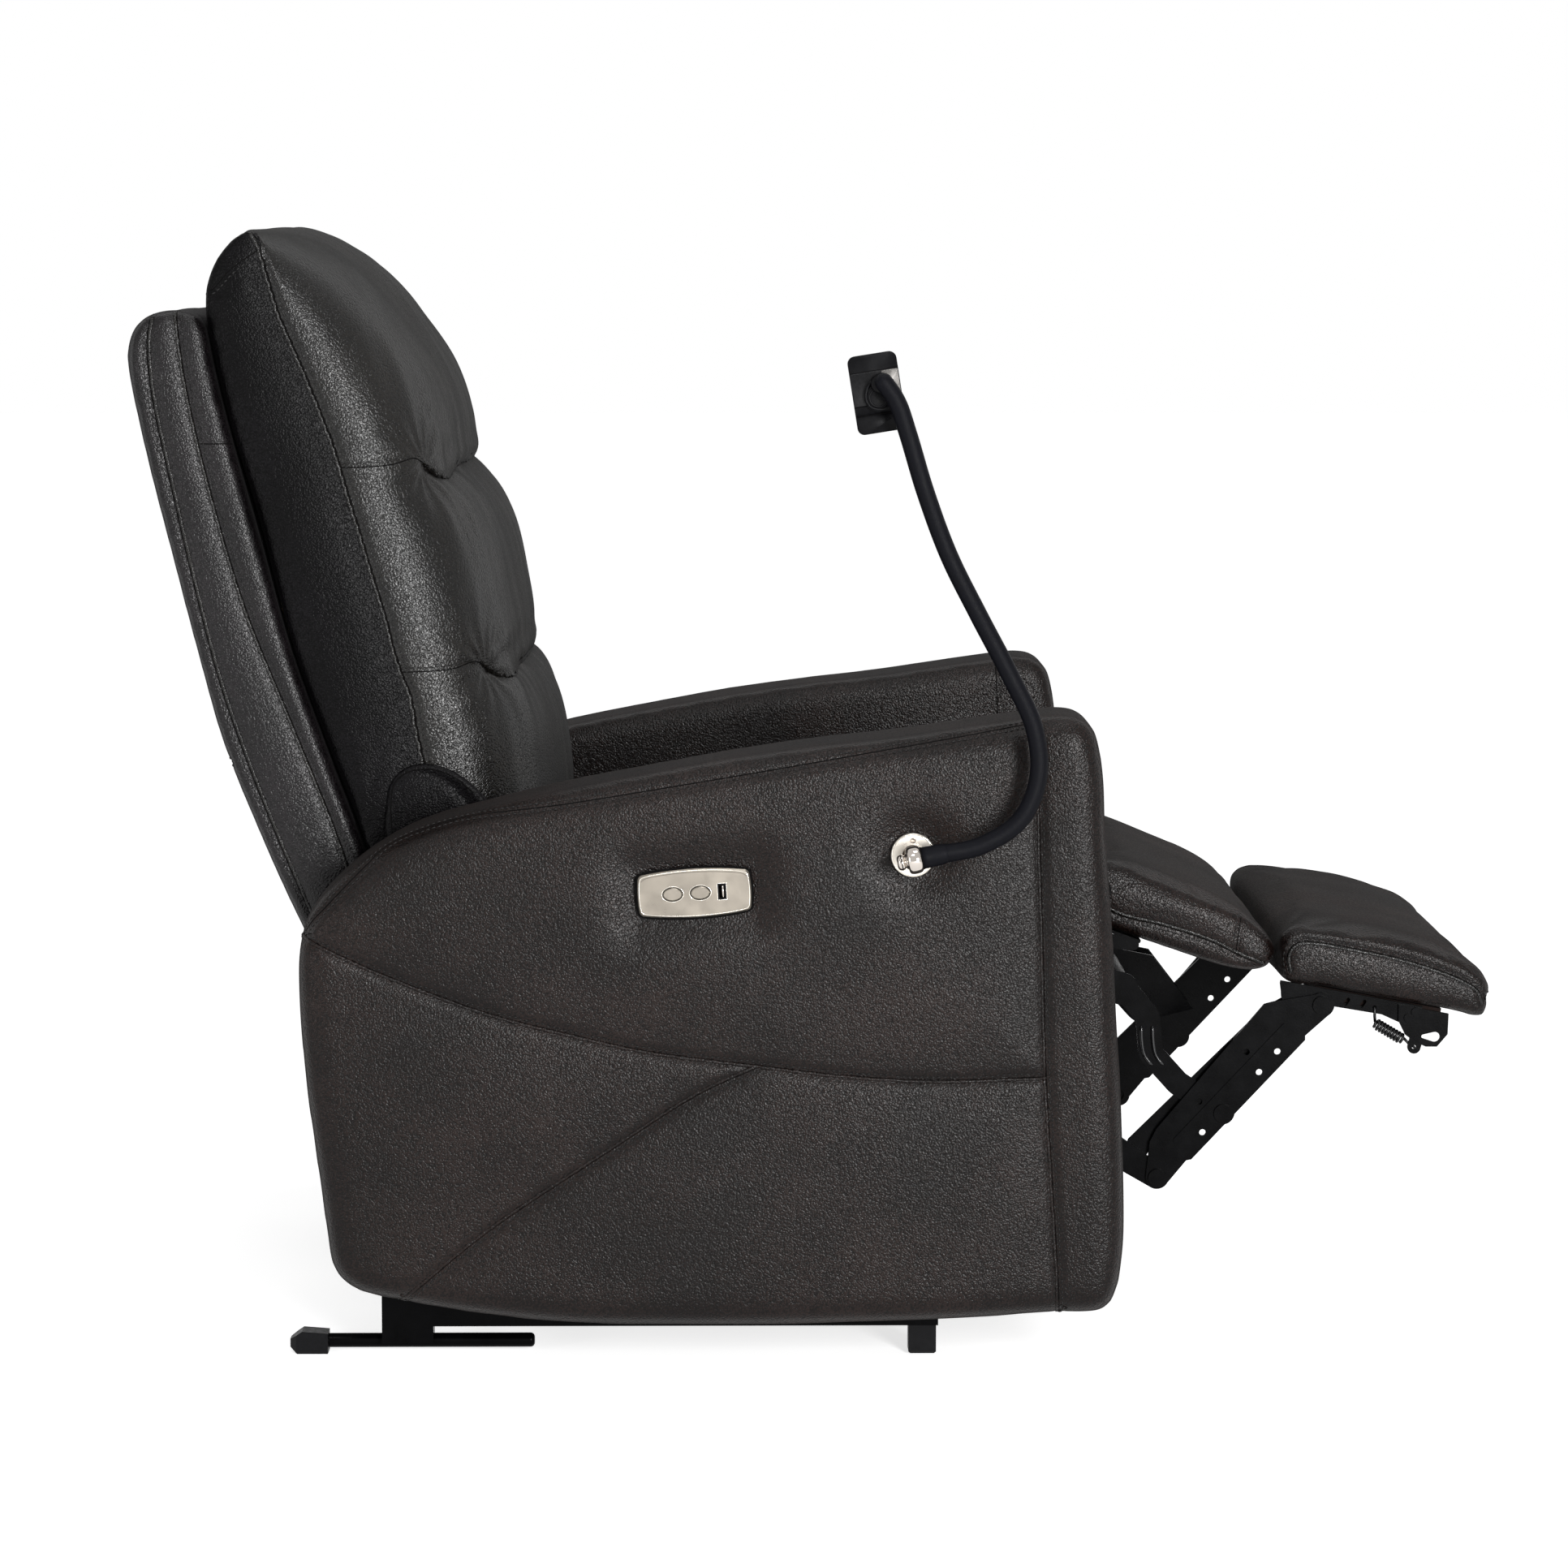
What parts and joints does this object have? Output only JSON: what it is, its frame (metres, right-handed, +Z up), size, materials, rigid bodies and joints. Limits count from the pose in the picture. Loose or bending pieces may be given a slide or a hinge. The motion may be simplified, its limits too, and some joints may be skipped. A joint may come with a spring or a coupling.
{
  "type": "power recliner armchair",
  "caption": "Leather power recliner armchair with fold-out footrest linkage, reclining back, arm controls and a flexible phone holder.",
  "frame": {"origin": "on the floor under the middle of the whole chair with its footrest out and its phone holder", "axes": "+X the way the sitter faces, +Z up"},
  "size_m": [1.3231, 0.8865, 1.0955],
  "materials": {
    "leather": "pebbled",
    "wood": "raw plywood",
    "black_steel": "satin black paint",
    "zinc_steel": "dull",
    "nickel": "polished",
    "champagne_metal": "satin",
    "black_plastic": "matte",
    "soft_rubber": "soft matte",
    "webbing": "woven elastic"
  },
  "bodies": {
    "chair": {"base_rail_left": "black_steel", "base_rail_right": "black_steel", "base_crossbar_front": "black_steel", "base_crossbar_rear": "black_steel", "floor_bar_left": "black_steel", "floor_bar_right": "black_steel", "floor_bar_caps": "black_plastic", "front_feet": "black_plastic", "side_plate_left": "black_steel", "side_plate_right": "black_steel", "seat_pivot_pins": "zinc_steel", "seat_crossbars": "black_steel", "seat_frame": "wood", "seat_webbing": "webbing", "seat_cushion": "leather", "arm_left": "leather", "arm_right": "leather", "arm_frame_left": "wood", "arm_frame_right": "wood", "control_plate": "champagne_metal", "usb_port": "black_plastic", "drive_motor": "black_plastic", "drive_rail": "black_steel", "holder_flange": "nickel", "flange_screws": "nickel"},
    "rear_links": {"rear_link_left": "black_steel", "rear_link_right": "black_steel", "cross_tube": "black_steel", "drive_bracket": "black_steel"},
    "lower_links": {"lower_link_left": "black_steel", "lower_link_right": "black_steel"},
    "channel_links": {"channel_link_left": "black_steel", "channel_link_right": "black_steel", "channel_pins": "zinc_steel"},
    "upper_links": {"upper_link_left": "black_steel", "upper_link_right": "black_steel"},
    "ottoman": {"ottoman_bracket_left": "black_steel", "ottoman_bracket_right": "black_steel", "ottoman_board": "wood", "ottoman_pad": "leather", "ottoman_stop_plates": "black_steel", "ottoman_springs": "zinc_steel"},
    "mid_pad": {"mid_pad": "leather", "mid_pad_brackets": "black_steel"},
    "pad_links": {"pad_links": "black_steel"},
    "carriage": {"drive_carriage": "black_plastic"},
    "backrest": {"back_shell": "leather", "back_frame": "wood", "back_pillow": "leather", "back_bracket_left": "black_steel", "back_bracket_right": "black_steel", "back_ear_left": "leather", "back_ear_right": "leather"},
    "recline_button": {"recline_button": "champagne_metal"},
    "return_button": {"return_button": "champagne_metal"},
    "holder_arm": {"holder_knuckle": "nickel", "gooseneck": "soft_rubber"},
    "clip": {"clip_ball": "black_plastic", "clip_back": "black_plastic"},
    "jaw": {"clip_jaw": "black_plastic"}
  },
  "joints": [
    {"name": "footrest", "type": "hinge", "parent": "chair", "child": "rear_links", "pos_m": [0.1705, 0.02425, 0.374], "axis": [0, 1, 0], "range_deg": [0, 65.3]},
    {"name": "lower_link_pivots", "type": "hinge", "parent": "chair", "child": "lower_links", "pos_m": [0.109, 0.02425, 0.325], "axis": [0, 1, 0], "range_deg": [0, 64.62]},
    {"name": "channel_pivots", "type": "hinge", "parent": "rear_links", "child": "channel_links", "pos_m": [0.4, 0.02425, 0.227], "axis": [0, 1, 0], "range_deg": [-57.31, 0]},
    {"name": "upper_link_pivots", "type": "hinge", "parent": "lower_links", "child": "upper_links", "pos_m": [0.31, 0.02425, 0.178], "axis": [0, 1, 0], "range_deg": [-59.01, 0]},
    {"name": "ottoman_pivots", "type": "hinge", "parent": "channel_links", "child": "ottoman", "pos_m": [0.496, 0.02425, 0.334], "axis": [0, 1, 0], "range_deg": [0, 66.48]},
    {"name": "mid_pad_hinge", "type": "hinge", "parent": "chair", "child": "mid_pad", "pos_m": [0.278, 0.02425, 0.448], "axis": [0, 1, 0], "range_deg": [0, 69.56]},
    {"name": "pad_link_pivots", "type": "hinge", "parent": "rear_links", "child": "pad_links", "pos_m": [0.1517, 0.02425, 0.3221], "axis": [0, 1, 0], "range_deg": [-64.12, 0]},
    {"name": "drive_slide", "type": "slide", "parent": "chair", "child": "carriage", "axis": [1, 0, 0], "range_m": [-0.11208, 0]},
    {"name": "back_recline", "type": "hinge", "parent": "chair", "child": "backrest", "pos_m": [-0.3, 0.02425, 0.44], "axis": [0, -1, 0], "range_deg": [-4, 28]},
    {"name": "recline_button_press", "type": "slide", "parent": "chair", "child": "recline_button", "axis": [0, 1, 0], "range_m": [0, 0.002], "stiffness_N_per_m": 400, "springref_m": -0.0005},
    {"name": "return_button_press", "type": "slide", "parent": "chair", "child": "return_button", "axis": [0, 1, 0], "range_m": [0, 0.002], "stiffness_N_per_m": 400, "springref_m": -0.0005},
    {"name": "holder_swivel", "type": "hinge", "parent": "chair", "child": "holder_arm", "pos_m": [0.089, -0.41575, 0.503], "axis": [0, 1, 0], "range_deg": [-40, 40]},
    {"name": "clip_tilt", "type": "hinge", "parent": "holder_arm", "child": "clip", "pos_m": [0.058, -0.41575, 0.948], "axis": [0, 1, 0], "range_deg": [-35, 35]},
    {"name": "jaw_slide", "type": "slide", "parent": "clip", "child": "jaw", "axis": [0.1564, 0, -0.9877], "range_m": [0, 0.022], "stiffness_N_per_m": 250, "springref_m": -0.008}
  ],
  "couplings": [
    {"joint": "lower_link_pivots", "follows": "footrest", "ratio": 0.985},
    {"joint": "channel_pivots", "follows": "footrest", "ratio": -0.8731},
    {"joint": "ottoman_pivots", "follows": "footrest", "ratio": 1.0134},
    {"joint": "upper_link_pivots", "follows": "footrest", "ratio": -0.8991},
    {"joint": "mid_pad_hinge", "follows": "footrest", "ratio": 1.0606},
    {"joint": "pad_link_pivots", "follows": "footrest", "ratio": -0.9773},
    {"joint": "drive_slide", "follows": "footrest", "m_per_rad": -0.0979}
  ]
}
